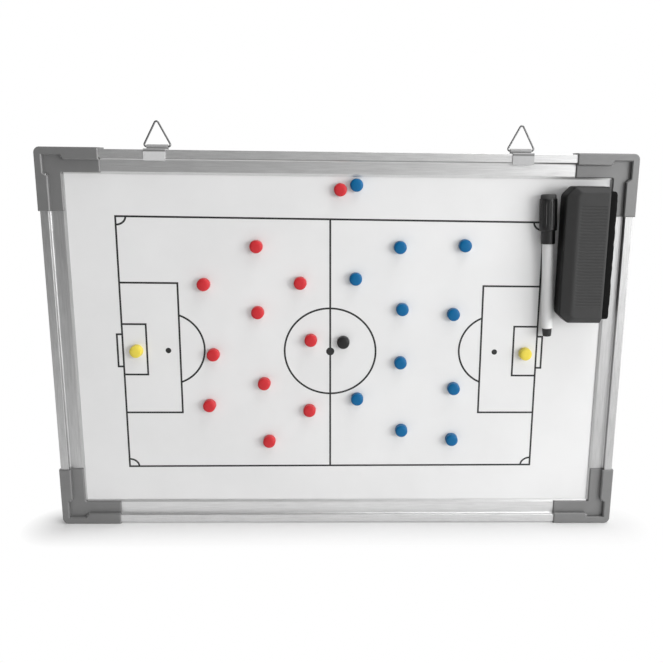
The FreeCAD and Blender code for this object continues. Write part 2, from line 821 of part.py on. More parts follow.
def make_pen_plug():
    """The tail plug, pressed into the barrel."""
    body = new_body("pen_end_plug")
    top = size.plug_length + size.plug_spigot
    revolve(body, "XZ_Plane", [
        (0, 0),
        (size.plug_tip_radius, 0),
        (size.plug_radius, size.plug_length),
        (spigot_radius, size.plug_length),
        (spigot_radius, top),
        (0, top),
    ])
    stand_pen(body)


def make_pen_barrel():
    """The white tube that holds the ink."""
    body = new_body("pen_barrel")
    revolve(body, "XZ_Plane", [
        (barrel_bore, size.plug_length),
        (size.barrel_radius, size.plug_length),
        (size.barrel_radius, barrel_mouth),
        (barrel_bore, barrel_mouth),
    ])
    stand_pen(body)


def make_pen_reservoir():
    """The fibre rod between the tail plug and the nib."""
    body = new_body("pen_reservoir")
    radius = barrel_bore - size.reservoir_play
    foot = size.plug_length + size.plug_spigot
    revolve(body, "XZ_Plane", [(0, foot), (radius, foot), (radius, holder_foot), (0, holder_foot)])
    stand_pen(body)


def make_pen_holder():
    """The nib holder: a spigot in the barrel, a short neck and a cone."""
    body = new_body("pen_nib_holder")
    revolve(body, "XZ_Plane", [
        (nib_bore, holder_foot),
        (spigot_radius, holder_foot),
        (spigot_radius, barrel_mouth),
        (size.holder_radius, barrel_mouth),
        (size.holder_radius, holder_shoulder),
        (size.holder_tip_radius, holder_tip),
        (nib_bore, holder_tip),
    ])
    stand_pen(body)


def make_pen_nib():
    """The bullet nib, from the reservoir to past the cone."""
    body = new_body("pen_nib")
    tip = holder_tip + size.nib_reach
    turned = revolve(body, "XZ_Plane", [(0, holder_foot), (size.nib_radius, holder_foot),
                                        (size.nib_radius, tip), (0, tip)])
    soften(body, "Chamfer", turned, lambda point: near(point.z, tip), size.nib_point)
    stand_pen(body)


def make_pen_cap():
    """The cap: a skirt over the barrel's mouth and a fluted head with a flat for its magnet."""
    body = new_body("pen_cap")
    wide_bore = size.barrel_radius + size.cover_play
    bore_end = head_foot + size.head_bore_depth
    felt_foot = head_top - size.tip_felt_seat
    felt_seat = size.tip_felt_radius + size.spigot_fit
    turned = revolve(body, "XZ_Plane", [
        (wide_bore, cover_rim),
        (size.skirt_radius, cover_rim),
        (size.skirt_radius, head_foot),
        (size.head_radius, head_foot),
        (size.head_radius, head_top),
        (felt_seat, head_top),
        (felt_seat, felt_foot),
        (0, felt_foot),
        (0, bore_end),
        (size.head_bore_radius, bore_end),
        (size.head_bore_radius, head_foot),
        (wide_bore, head_foot),
    ])
    rim = size.head_radius.value - NEAR
    soften(body, "Chamfer", turned,
           lambda point: near(point.z, head_foot) and math.hypot(point.x, point.y) > rim,
           size.head_edge)
    flute = new_sketch(body, "XY_Plane", "cap_flute", head_foot + size.flute_start)
    flute_out = size.head_radius + size.flute_depth
    draw_outline(flute, [
        (size.head_radius - size.flute_depth, 0),
        (flute_out, -size.flute_width / 2),
        (flute_out, size.flute_width / 2),
    ])
    cut = extrude(body, "Pocket", flute, size.flute_length, reverse=True)
    doc.recompute()
    flutes = body.newObject("PartDesign::PolarPattern", "cap_flutes")
    flutes.Originals = [cut]
    flutes.Axis = (flute, ["N_Axis"])
    flutes.Angle = FULL_TURN
    flutes.Occurrences = FLUTE_COUNT
    body.Tip = flutes
    flat = new_sketch(body, "XZ_Plane", "cap_flat", -size.flat_reach)
    past_head = size.head_radius + size.overrun
    draw_box(flat, -past_head, head_foot - size.overrun, past_head, head_top + size.overrun)
    extrude(body, "Pocket", flat, past_head - size.flat_reach)
    slot = new_sketch(body, "XZ_Plane", "cap_magnet_slot", -size.flat_reach)
    slot_foot = head_foot + size.slab_start
    half_slab = size.slab_width / 2
    draw_box(slot, -half_slab, slot_foot, half_slab, slot_foot + size.slab_length)
    extrude(body, "Pocket", slot, size.slab_depth, reverse=True)
    stand_pen(body)


def make_pen_magnet():
    """The magnet slab, flush with the cap's flat."""
    body = new_body("pen_cap_magnet")
    slab = new_sketch(body, "XZ_Plane", "magnet_slab", -size.flat_reach)
    slab_foot = head_foot + size.slab_start
    half_slab = size.slab_width / 2
    draw_box(slab, -half_slab, slab_foot, half_slab, slab_foot + size.slab_length)
    extrude(body, "Pad", slab, size.slab_depth)
    stand_pen(body)


def make_pen_felt():
    """The small round felt in the end of the cap."""
    body = new_body("pen_cap_felt")
    foot = head_top - size.tip_felt_seat
    top = head_top + size.tip_felt_reach
    turned = revolve(body, "XZ_Plane", [(0, foot), (size.tip_felt_radius, foot),
                                        (size.tip_felt_radius, top), (0, top)])
    soften(body, "Chamfer", turned, lambda point: near(point.z, top), size.tip_felt_edge)
    stand_pen(body)


make_pen_plug()
make_pen_barrel()
make_pen_reservoir()
make_pen_holder()
make_pen_nib()
make_pen_cap()
make_pen_magnet()
make_pen_felt()

doc.recompute()
for thing in doc.Objects:
    if "Invalid" in thing.State or "Error" in thing.State:
        raise RuntimeError("%s did not build: %s" % (thing.Name, thing.State))
for node in nodes:
    if node.Shape.isNull() or not node.Shape.isValid() or not node.Shape.Solids:
        raise RuntimeError("%s has no valid solid" % node.Label)

os.makedirs("parts", exist_ok=True)
for node in nodes:
    node.Shape.exportStep("parts/%s.step" % node.Label)
print("%d pieces written" % len(nodes))
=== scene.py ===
import math

import bmesh
import bpy
import numpy as np
from mathutils import Matrix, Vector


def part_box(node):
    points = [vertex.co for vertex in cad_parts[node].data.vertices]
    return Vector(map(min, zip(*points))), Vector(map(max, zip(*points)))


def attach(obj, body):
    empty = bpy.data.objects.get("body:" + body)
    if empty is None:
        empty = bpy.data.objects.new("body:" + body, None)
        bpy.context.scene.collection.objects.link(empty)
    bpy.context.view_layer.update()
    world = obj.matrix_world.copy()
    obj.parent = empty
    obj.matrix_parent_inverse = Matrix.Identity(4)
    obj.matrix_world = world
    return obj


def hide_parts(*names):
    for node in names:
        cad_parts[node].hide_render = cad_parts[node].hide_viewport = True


# A magnetic tactics board with its counters, pen and eraser. Lengths are metres, in the frame of the
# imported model: X to the right, Y away from the writing face, Z up.
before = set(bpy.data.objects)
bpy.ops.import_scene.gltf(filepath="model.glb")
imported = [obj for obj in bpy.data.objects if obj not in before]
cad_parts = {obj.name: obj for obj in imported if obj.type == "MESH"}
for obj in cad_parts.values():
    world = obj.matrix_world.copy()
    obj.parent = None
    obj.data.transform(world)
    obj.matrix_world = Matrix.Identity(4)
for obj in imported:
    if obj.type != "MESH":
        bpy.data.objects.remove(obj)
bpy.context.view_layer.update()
MM = 0.001


# Panel: a steel sheet with white dry-wipe lacquer, a pressed fibre core and a thin painted steel back.
# The three layers are glued together, and the frame's rails hold their edges.
class Field:
    """A shader socket that stands in Python sums; each operator adds one Math node."""

    def __init__(self, finish, socket):
        self.finish = finish
        self.socket = socket

    def __add__(self, other):
        return self.finish.math("ADD", self, other)

    def __radd__(self, other):
        return self.finish.math("ADD", other, self)

    def __sub__(self, other):
        return self.finish.math("SUBTRACT", self, other)

    def __rsub__(self, other):
        return self.finish.math("SUBTRACT", other, self)

    def __mul__(self, other):
        return self.finish.math("MULTIPLY", self, other)

    def __rmul__(self, other):
        return self.finish.math("MULTIPLY", other, self)

    def between(self, low, high):
        """0 where the field is at low, 1 where it is at high, and straight in between."""
        sockets = {"Value": self, "From Min": low, "From Max": high}
        return self.finish.node("ShaderNodeMapRange", {"clamp": True}, sockets, "Result")


class Finish:
    """The nodes of one material, or of the world, put together one by one."""

    def __init__(self, owner):
        self.owner = owner
        owner.use_nodes = True
        self.tree = owner.node_tree
        self.tree.nodes.clear()

    def feed(self, socket, value):
        """Link a field to a socket, or set the socket's own value."""
        if isinstance(value, Field):
            self.tree.links.new(value.socket, socket)
        elif socket.type == "RGBA":
            socket.default_value = (*value, 1.0)
        else:
            socket.default_value = value

    def node(self, kind, settings, sockets, output):
        """Any node: its type, its settings, what its sockets hold, and the output that is used."""
        made = self.tree.nodes.new(kind)
        for name, setting in settings.items():
            setattr(made, name, setting)
        for name, value in sockets.items():
            self.feed(made.inputs[name], value)
        return Field(self, made.outputs[output])

    def math(self, operation, *values):
        """One Math node on values."""
        return self.node("ShaderNodeMath", {"operation": operation}, dict(enumerate(values)), 0)

    def noise(self, grain, detail=2.0, stretch=(1.0, 1.0, 1.0)):
        """Noise on Object coordinates with spots of about one grain; a stretch under 1 draws them out."""
        spot = self.node("ShaderNodeTexCoord", {}, {}, "Object")
        spot = self.node("ShaderNodeMapping", {}, {"Vector": spot, "Scale": stretch}, "Vector")
        sockets = {"Vector": spot, "Scale": 1 / grain, "Detail": detail, "Roughness": 0.55}
        return self.node("ShaderNodeTexNoise", {}, sockets, 0)

    def blend(self, factor, first, second):
        """The first colour where the factor is 0, and the second where it is 1."""
        sockets = {0: factor, 6: first, 7: second}
        return self.node("ShaderNodeMix", {"data_type": "RGBA"}, sockets, 2)

    def bump(self, height, depth):
        """A normal from a height of 0 to 1 that stands for a depth in metres."""
        sockets = {"Height": height, "Distance": depth, "Strength": 1.0}
        return self.node("ShaderNodeBump", {}, sockets, "Normal")

    def end(self, shader, output="ShaderNodeOutputMaterial"):
        """Link a shader to the output, and hand back what the nodes belong to."""
        self.tree.links.new(shader.socket, self.tree.nodes.new(output).inputs["Surface"])
        return self.owner

    def surface(self, sockets):
        """A Principled shader with these sockets, as the whole finish."""
        return self.end(self.node("ShaderNodeBsdfPrincipled", {}, sockets, "BSDF"))


def new_finish(name):
    """The nodes of a new material."""
    return Finish(bpy.data.materials.new(name))


def shade(*levels):
    """A colour as it is seen, from 0 to 255, in the linear values that shaders take."""
    seen = np.array(levels) / 255
    return tuple(np.where(seen > 0.04045, ((seen + 0.055) / 1.055) ** 2.4, seen / 12.92).tolist())


def paint(node, material):
    """Give a CAD node its finish."""
    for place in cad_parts[node].material_slots:
        place.material = material


def lacquer_finish():
    """Smooth white lacquer with a faint orange peel and the haze that wiping leaves."""
    finish = new_finish("white_lacquer")
    haze = finish.noise(90 * MM, 4.0).between(0.35, 0.7)
    wiped = finish.noise(22 * MM, 3.0, (0.3, 1.0, 1.0))
    peel = finish.noise(1.3 * MM, 1.0)
    return finish.surface({
        "Base Color": finish.blend(haze, shade(228, 228, 228), shade(234, 234, 234)),
        "Roughness": 0.26 + 0.16 * wiped,
        "Normal": finish.bump(peel, 0.004 * MM),
    })


def core_finish():
    """Pressed brown fibre with darker flecks."""
    finish = new_finish("pressed_fibre")
    fleck = finish.noise(1.5 * MM, 4.0).between(0.45, 0.75)
    return finish.surface({
        "Base Color": finish.blend(fleck, shade(176, 142, 104), shade(120, 90, 60)),
        "Roughness": 0.8 + 0.15 * fleck,
        "Normal": finish.bump(fleck, 0.1 * MM),
    })


def back_finish():
    """Thin grey coil-coated steel with a fine grain and long faint rolling streaks."""
    finish = new_finish("coated_steel_back")
    streak = finish.noise(6 * MM, 3.0, (0.03, 1.0, 1.0))
    grain = finish.noise(0.6 * MM, 2.0)
    return finish.surface({
        "Base Color": finish.blend(streak, shade(196, 198, 200), shade(212, 213, 214)),
        "Metallic": 0.35,
        "Roughness": 0.38 + 0.14 * grain,
        "Normal": finish.bump(grain, 0.01 * MM),
    })


paint("writing_sheet", lacquer_finish())
paint("core_board", core_finish())
paint("backing_sheet", back_finish())


# Pitch: black ink, screen-printed on the lacquer in lines a little over 1 mm wide before the sheet is cut.
# It is a skin a few hundredths of a millimetre thick that moves with the board.
def shell(sections, loop=False):
    """Points and faces of a skin through rings of points: sections[i, j] is point j of ring i.

    Each ring closes on itself. The rings join in order, and with loop the last joins the first;
    otherwise the first and last ring are closed by flat ends.
    """
    rings, around = sections.shape[:2]
    row = np.arange(rings if loop else rings - 1)[:, None]
    column = np.arange(around)[None, :]
    after_row, after_column = (row + 1) % rings, (column + 1) % around
    quads = np.stack([row * around + column, row * around + after_column,
                      after_row * around + after_column, after_row * around + column], -1)
    faces = quads.reshape(-1, 4).tolist()
    if not loop:
        faces.append(np.arange(around).tolist())
        faces.append(np.arange((rings - 1) * around, rings * around).tolist())
    return sections.reshape(-1, 3), faces


def piece(name, skins, body, replaced=None, crease=40.0):
    """One object from several skins, each with its material, that rides on a body."""
    points, faces, materials = [], [], []
    start = 0
    for number, ((corners, rings), material) in enumerate(skins):
        points.append(corners)
        faces += [[start + corner for corner in face] for face in rings]
        materials += [number] * len(rings)
        start += len(corners)
    mesh = bpy.data.meshes.new(name)
    mesh.from_pydata(np.concatenate(points).tolist(), [], faces)
    mesh.polygons.foreach_set("material_index", materials)
    for skin in skins:
        mesh.materials.append(skin[1])
    outward = bmesh.new()
    outward.from_mesh(mesh)
    bmesh.ops.recalc_face_normals(outward, faces=outward.faces)
    outward.to_mesh(mesh)
    outward.free()
    mesh.shade_smooth()
    mesh.set_sharp_from_angle(angle=math.radians(crease))
    thing = bpy.data.objects.new(name, mesh)
    bpy.context.scene.collection.objects.link(thing)
    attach(thing, body)
    if replaced:
        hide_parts(replaced)
    return thing


PITCH_X, PITCH_Z = -6.6 * MM, 148.8 * MM
HALF_PITCH = np.array([163.1, 99.9]) * MM
NARROWING = 0.0083 / HALF_PITCH[0]
LINE = 1.45 * MM
INK = 0.03 * MM
sheet_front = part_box("writing_sheet")[0].y


def ink_finish():
    """Black screen ink, a little uneven in gloss and density."""
    finish = new_finish("black_ink")
    uneven = finish.noise(2.5 * MM, 3.0)
    return finish.surface({
        "Base Color": finish.blend(uneven, shade(24, 24, 25), shade(36, 36, 36)),
        "Roughness": 0.42 + 0.2 * uneven,
    })


def printed(along, up, depth):
    """Points on the sheet from places on the pitch: the print narrows by under 1 % to the right."""
    return np.stack([along + PITCH_X, depth + 0 * along, up * (1 - NARROWING * along) + PITCH_Z], -1)


def stroke(path, closed, thick=INK):
    """A flat bar along a path on the sheet: a mitred rectangle, one line wide, carried along it.

    At each point the half width is laid off along the bisector of the two sides, lengthened by
    the cosine of half the turn, so that the bar keeps its width round corners.
    """
    ahead = np.roll(path, -1, 0) - path
    behind = path - np.roll(path, 1, 0)
    if not closed:
        ahead[-1], behind[0] = behind[-1], ahead[0]
    ahead /= np.linalg.norm(ahead, axis=1)[:, None]
    behind /= np.linalg.norm(behind, axis=1)[:, None]
    side = np.stack([-(ahead + behind)[:, 1], (ahead + behind)[:, 0]], 1)
    side /= np.linalg.norm(side, axis=1)[:, None]
    square = np.stack([-ahead[:, 1], ahead[:, 0]], 1)
    side *= (LINE / 2 / (side * square).sum(1))[:, None]
    corners = np.stack([path + side, path - side, path - side, path + side], 1)
    depth = sheet_front + np.array([INK, INK, -thick, -thick])
    return shell(printed(corners[..., 0], corners[..., 1], depth), closed)


def bow(middle, reach, rise, start, end, steps=64):
    """Points on an arc: the middle plus the reach times the cosine and the rise times the sine."""
    turn = np.radians(np.linspace(start, end, steps))
    return np.array(middle) + np.stack([reach * np.cos(turn), rise * np.sin(turn)], 1)


def dot(middle, radius, thick):
    """A flat round spot: two equal rings of points, on and under the ink's face."""
    ring = bow(middle, radius, radius, 0, 360, 49)[:-1]
    depth = sheet_front + np.array([[INK], [-thick]])
    return shell(printed(ring[None, :, 0] + 0 * depth, ring[None, :, 1] + 0 * depth, depth))


# From the end line: how far each box comes in, half its height, how far its middle lies below the
# pitch's, and its share of the ink's thickness
PENALTY_AREA, GOAL_AREA, GOAL = (44.5, 52.0, 2.4, 1.1), (18.6, 20.2, 3.0, 1.2), (-4.2, 12.9, 3.8, 1.3)
HALFWAY, CIRCLE_DROP, CIRCLE_REACH, CIRCLE_RISE = -0.8 * MM, 3.8 * MM, 35.9 * MM, 34.6 * MM
SPOTS, SPOT_DROP, ARC_DROP, ARC_REACH = {-1: -127.8 * MM, 1: 129.6 * MM}, 3.7 * MM, 2.4 * MM, 28.4 * MM
CORNER_REACH, CORNER_RISE = 7.6 * MM, 6.3 * MM
CENTRE_SPOT, PENALTY_SPOT = 3.2 * MM, 2.2 * MM


def field_lines():
    """Every printed line, each a hair deeper or shallower than those it crosses."""
    across, up = HALF_PITCH
    centre = (HALFWAY, -CIRCLE_DROP)
    lines = [
        stroke(np.array([[-across, -up], [across, -up], [across, up], [-across, up]]), True),
        stroke(np.array([[HALFWAY, -up], [HALFWAY, up]]), False, 1.1 * INK),
        stroke(bow(centre, CIRCLE_REACH, CIRCLE_RISE, 0, 360, 145)[:-1], True, 1.2 * INK),
        dot(centre, CENTRE_SPOT, 1.3 * INK),
    ]
    for side in (-1, 1):
        end = side * across
        for inward, half, drop, thick in (PENALTY_AREA, GOAL_AREA, GOAL):
            inner = end - side * inward * MM
            low, high = (-drop - half) * MM, (half - drop) * MM
            box = np.array([[end, low], [inner, low], [inner, high], [end, high]])
            lines.append(stroke(box, False, thick * INK))
        spot = SPOTS[side]
        lines.append(dot((spot, -SPOT_DROP), PENALTY_SPOT, INK))
        edge = math.degrees(math.acos((abs(spot - end) - PENALTY_AREA[0] * MM) / -ARC_REACH))
        first = 180 if side > 0 else 0
        arc = bow((spot, -ARC_DROP), ARC_REACH, ARC_REACH, first - edge, first + edge)
        lines.append(stroke(arc, False, 1.2 * INK))
        for height in (-1, 1):
            quarter = {(-1, -1): 0, (1, -1): 90, (1, 1): 180, (-1, 1): 270}[side, height]
            corner = bow((end, height * up), CORNER_REACH, CORNER_RISE, quarter, quarter + 90, 24)
            lines.append(stroke(corner, False, 1.1 * INK))
    return lines


ink = ink_finish()
piece("pitch_print", [(line, ink) for line in field_lines()], "board")


# Rails: four lengths of one extruded aluminium section, satin from the die and clear-anodised.
# Their outer band is raised, and their inner flange laps over the edge of the panel.
# Reach, core and share of a line of painted shade in the angle of a rail's step.
STEP_SHADE_REACH, STEP_SHADE_CORE, STEP_SHADE_SHARE = 0.7 * MM, 0.2 * MM, 0.5


def rail_finish(name, stretch, dark, light, corner=None):
    """Satin aluminium: die lines along the rail, and a fine sparkle of the anodised grain.

    A corner is the height of a step, along whose angle a thin line of painted shade greys the colour.
    """
    finish = new_finish(name)
    die = finish.noise(0.9 * MM, 3.0, stretch)
    grain = finish.noise(0.45 * MM, 2.0)
    tone = (0.6 * die + 0.4 * grain).between(0.3, 0.7)
    colour = finish.blend(tone, shade(dark, dark, dark), shade(light, light, light))
    if corner:
        place = finish.node("ShaderNodeTexCoord", {}, {}, "Object")
        height = finish.node("ShaderNodeSeparateXYZ", {}, {"Vector": place}, "Z")
        # Painted shade: a thin grey line along the step's angle, where shade falls.
        step_shade = finish.math("ABSOLUTE", height - corner).between(STEP_SHADE_REACH, STEP_SHADE_CORE)
        colour = finish.blend(STEP_SHADE_SHARE * step_shade, colour, shade(96, 96, 96))
    return finish.surface({
        "Base Color": colour,
        "Metallic": 1.0,
        "Roughness": 0.34 + 0.1 * grain + 0.06 * die,
        "Normal": finish.bump(0.7 * die + 0.3 * grain, 0.03 * MM),
    })


RAIL_BAND = 6.4 * MM
top_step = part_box("top_rail")[1].z - RAIL_BAND
# One section, but each rail has its own copy of the finish as painted light and shade: the bottom rail
# lightest, the top rail a little darker, the uprights darkest.
paint("top_rail", rail_finish("satin_aluminium_top_painted_shade", (0.06, 1.0, 1.0), 200, 224, top_step))
paint("bottom_rail", rail_finish("satin_aluminium_bottom_painted_light", (0.06, 1.0, 1.0), 208, 232))
upright_rail_painted_shade = rail_finish("satin_aluminium_upright_painted_shade", (1.0, 1.0, 0.06), 172, 200)
for rail in ("left_rail", "right_rail"):
    paint(rail, upright_rail_painted_shade)


# Corner caps: grey ABS, moulded with a fine spark-eroded grain and pushed over the rails' square ends.
# A tenon on each leg sits in the rail's hollow.
def cap_finish():
    """Silver-grey moulded plastic: metal flake in the grey, and an even fine grain."""
    finish = new_finish("grained_silver_grey_plastic")
    grain = finish.noise(0.35 * MM, 2.0)
    flow = finish.noise(16 * MM, 3.0)
    return finish.surface({
        "Base Color": finish.blend(flow, shade(124, 124, 124), shade(133, 133, 133)),
        "Metallic": 0.45,
        "Roughness": 0.48 + 0.14 * grain,
        "Normal": finish.bump(grain, 0.02 * MM),
    })


grey_plastic = cap_finish()
for cap in ("bottom_left_cap", "bottom_right_cap", "top_right_cap", "top_left_cap"):
    paint(cap, grey_plastic)


# Hangers: nickel-plated steel straps bent over the top rail, each riveted at the back,
# with a triangle of plated wire that swings in the strap's rolled eye.
EYE_FROM, EYE_WHOLE = -1.4 * MM, -0.8 * MM
BEND_SHADOW_DROP, BEND_SHADOW_REACH, BEND_SHADOW_CORE = 0.7 * MM, 1.0 * MM, 0.4 * MM


def plated_finish(name, dark, light, metal, rough, bend=None):
    """Nickel plate with faint rolling lines and rub marks, and less like bare metal where it is dull.

    A bend is the height at which a strap goes over to its rolled eye: the plate is a darker grey from
    there up, and a line of painted shadow darkens it in the bend.
    """
    finish = new_finish(name)
    rub = finish.noise(1.2 * MM, 4.0)
    roll = finish.noise(0.4 * MM, 2.0, (1.0, 1.0, 0.06))
    colour = finish.blend(rub, shade(dark, dark, dark), shade(light, light, light + 1))
    if bend:
        place = finish.node("ShaderNodeTexCoord", {}, {}, "Object")
        height = finish.node("ShaderNodeSeparateXYZ", {}, {"Vector": place}, "Z") - bend
        # From the bend up the plate is a darker grey.
        colour = finish.blend(height.between(EYE_FROM, EYE_WHOLE), colour, shade(174, 174, 174))
        # Painted shadow: a dark line in the bend, just under the eye.
        crease = finish.math("ABSOLUTE", height + BEND_SHADOW_DROP).between(BEND_SHADOW_REACH, BEND_SHADOW_CORE)
        colour = finish.blend(crease, colour, shade(122, 122, 122))
    return finish.surface({
        "Base Color": colour,
        "Metallic": metal,
        "Roughness": rough + 0.14 * rub,
        "Normal": finish.bump(roll, 0.006 * MM),
    })


def rounded(corners, radii, steps=8):
    """A line through corners that are rounded off: at each one, an arc that touches both sides.

    The arc's middle lies on the corner's bisector, a radius over the sine of half the angle away,
    and its points are the directions to its two ends mixed by the sine of the turn.
    """
    corners = np.asarray(corners, float)
    run = [corners[:1]]
    share = np.linspace(0, 1, steps)[:, None]
    for before, corner, after, radius in zip(corners, corners[1:], corners[2:], radii):
        back = (before - corner) / np.linalg.norm(before - corner)
        on = (after - corner) / np.linalg.norm(after - corner)
        half = np.arccos(np.clip(back @ on, -1, 1)) / 2
        middle = corner + (back + on) / np.linalg.norm(back + on) * radius / np.sin(half)
        first = corner + back * radius / np.tan(half) - middle
        last = corner + on * radius / np.tan(half) - middle
        turn = np.pi - 2 * half
        arc = (np.sin((1 - share) * turn) * first + np.sin(share * turn) * last) / np.sin(turn)
        run.append(middle + arc)
    run.append(corners[-1:])
    return np.concatenate(run)


def turned(profile, around=48):
    """Rings of a turned shape about Z: each (radius, height) of the profile goes once round."""
    turn = np.linspace(0, 2 * np.pi, around, endpoint=False)
    radius, height = profile[:, :1], profile[:, 1:]
    return np.stack([radius * np.cos(turn), radius * np.sin(turn), height + 0 * turn], -1)


WIRE = 0.7 * MM
RING_FOOT, RING_APEX, RING_BEND = 10.69 * MM, 20.04 * MM, 1.5 * MM
RING_SPLIT = 0.3 * MM
HANGER_REACH = 137 * MM
RIVET, RIVET_LENGTH, RIVET_HEAD, RIVET_RISE = 1.2, 4.7, 2.2, 1.2


def ring_wire(side):
    """Round wire: a circle carried along a triangle with rounded corners, open in the strap's eye."""
    low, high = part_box("hanger_ring_%s" % side)
    line = rounded([[RING_SPLIT, 0], [RING_FOOT, 0], [0, RING_APEX], [-RING_FOOT, 0], [-RING_SPLIT, 0]],
                   [RING_BEND] * 3, 14)
    ahead = np.gradient(line, axis=0)
    ahead /= np.linalg.norm(ahead, axis=1)[:, None]
    turn = np.linspace(0, 2 * np.pi, 20, endpoint=False)
    out = WIRE * np.cos(turn)
    x = (low.x + high.x) / 2 + line[:, :1] - ahead[:, 1:] * out
    z = low.z + WIRE + line[:, 1:] + ahead[:, :1] * out
    y = np.broadcast_to((low.y + high.y) / 2 + WIRE * np.sin(turn), x.shape)
    return shell(np.stack([x, y, z], -1))


def rivet_head(side):
    """A domed rivet: a turned profile laid with its axis along Y."""
    low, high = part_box("hanger_rivets")
    corners = np.array([[RIVET, RIVET_LENGTH], [RIVET, RIVET_RISE], [RIVET_HEAD, RIVET_RISE],
                        [RIVET_HEAD, 0.1], [0.1, 0.0]])
    profile = rounded(corners * MM, [0.1 * MM, 0.2 * MM, 0.9 * MM])
    rings = turned(profile)
    x = side * HANGER_REACH + rings[..., 0]
    return shell(np.stack([x, high.y - rings[..., 2], (low.z + high.z) / 2 + rings[..., 1]], -1))


rail_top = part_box("top_rail")[1].z
# One plate for both straps in two copies, as painted light and shade: the left painted lighter, the right
# painted darker.
lit_and_shaded_strap_plates = {"left": plated_finish("nickel_strap_left_painted_light", 204, 216, 0.2, 0.5, rail_top),
                "right": plated_finish("nickel_strap_right_painted_shade", 176, 188, 0.2, 0.5, rail_top)}
wire_plate = plated_finish("nickel_wire", 120, 138, 1.0, 0.22)
for side in ("left", "right"):
    paint("hanger_strap_%s" % side, lit_and_shaded_strap_plates[side])
    piece("ring_wire_%s" % side, [(ring_wire(side), wire_plate)], "ring_%s" % side,
          "hanger_ring_%s" % side)
rivet_plate = plated_finish("nickel_rivet", 204, 216, 0.2, 0.5)
piece("rivet_heads", [(rivet_head(side), rivet_plate) for side in (-1, 1)], "board",
      "hanger_rivets")


# Counters: injection-moulded buttons of satin coloured plastic, with a ferrite disc glued
# into the underside. Each holds itself on the sheet by its magnet. Millimetres, from the sheet up.
BORE, BORE_DEPTH, FOOT, SHOULDER, SHOULDER_HEIGHT = 4.1, 3.0, 5.0, 4.88, 3.9
PILLOW_RISE, PILLOW_POWER = 2.1, 0.72
DISC, DISC_MIDDLE, DISC_FOOT, DISC_TOP = 4.0, 3.2, 0.02, 2.95


def button_finish(name, dark, light):
    """Coloured plastic: slow swirls from moulding, and small rubs in the gloss."""
    finish = new_finish(name)
    swirl = finish.noise(5 * MM, 3.0)
    rub = finish.noise(0.8 * MM, 3.0)
    return finish.surface({
        "Base Color": finish.blend(swirl, shade(*dark), shade(*light)),
        "Roughness": 0.34 + 0.16 * rub,
        "Specular IOR Level": 0.25,
        "Normal": finish.bump(rub, 0.006 * MM),
    })


def ferrite_finish():
    """Pressed ferrite: charcoal, slightly speckled and dull."""
    finish = new_finish("pressed_ferrite")
    fleck = finish.noise(0.3 * MM, 3.0)
    return finish.surface({
        "Base Color": finish.blend(fleck, shade(44, 43, 43), shade(70, 69, 68)),
        "Metallic": 0.2,
        "Roughness": 0.6 + 0.25 * fleck,
        "Normal": finish.bump(fleck, 0.03 * MM),
    })


def counter(name, coat, magnet):
    """A button and its disc: two turned profiles, laid with their axes towards the viewer.

    The button's face is a pillow: a power of the cosine out and of the sine up, from rim to middle.
    """
    low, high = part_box(name)
    skirt = np.array([[BORE, BORE_DEPTH], [BORE, 0.0], [FOOT, 0.0], [SHOULDER, SHOULDER_HEIGHT]])
    skirt = rounded(skirt * MM, [0.15 * MM, 0.25 * MM], 9)
    turn = np.radians(np.linspace(0, 89, 25))
    out, up = SHOULDER * np.cos(turn) ** PILLOW_POWER, PILLOW_RISE * np.sin(turn) ** PILLOW_POWER
    pillow = np.array([0, SHOULDER_HEIGHT * MM]) + MM * np.stack([out, up], 1)
    button = np.concatenate([skirt[:-1], pillow])
    disc = np.array([[DISC_MIDDLE, DISC_FOOT], [DISC, DISC_FOOT], [DISC, DISC_TOP], [DISC_MIDDLE, DISC_TOP]])
    disc = rounded(disc * MM, [0.2 * MM, 0.2 * MM], 5)
    skins = []
    for profile, material in ((button, coat), (disc, magnet)):
        rings = turned(profile, 64)
        x = (low.x + high.x) / 2 + rings[..., 0]
        z = (low.z + high.z) / 2 + rings[..., 1]
        skins.append((shell(np.stack([x, high.y - rings[..., 2], z], -1)), material))
    piece("%s_button" % name, skins, name, name, 30.0)


ferrite = ferrite_finish()
BUTTON_COLOURS = {
    "red": ((192, 40, 46), (207, 52, 58)),
    "blue": ((0, 91, 142), (0, 103, 155)),
    "yellow": ((225, 204, 66), (235, 217, 94)),
    "black": ((30, 30, 31), (42, 42, 42)),
}
for colour, (dark, light) in BUTTON_COLOURS.items():
    coat = button_finish("%s_plastic" % colour, dark, light)
    for node in sorted(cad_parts):
        if node.startswith("%s_counter_" % colour):
            counter(node, coat, ferrite)


# Eraser: a hollow black ABS grip, moulded with sloped shoulders and fine ribs, and a felt pad
# glued over its open side. Two magnet bars inside hold it against the sheet.
GRIP_LENGTH, GRIP_DEEP, GRIP_WIDE = 102.4 * MM, 12.5 * MM, 31.6 * MM
GRIP_CORNER, GRIP_SHOULDER, GRIP_END_SHOULDER, GRIP_DROP = 6.5 * MM, 7.8 * MM, 4.3 * MM, 4.5 * MM
RIB_PITCH, RIB_DEEP = 2.3 * MM, 0.3 * MM
RIB_MARGIN, RIB_END_MARGIN, RIB_FADE = 2 * MM, 13 * MM, MM
END_ROUND, EDGE_ROUND, RIM_ROUND = 1.0 * MM, 0.9 * MM, 0.4 * MM
CORNER_BLEND, SHOULDER_BLEND, FACE_BLEND = 1.6 * MM, 0.8 * MM, 0.7 * MM
# Where the painted shade on the grip's sides begins and is whole, in depth from the shoulder.
SIDE_SHADE_FROM, SIDE_SHADE_WHOLE = 0.3 * MM, -0.7 * MM


def soft_least(first, second, width):
    """The lesser of two values, with the switch from one to the other rounded over a width."""
    share = np.clip(0.5 + 0.5 * (second - first) / width, 0, 1)
    return second + (first - second) * share - width * share * (1 - share)


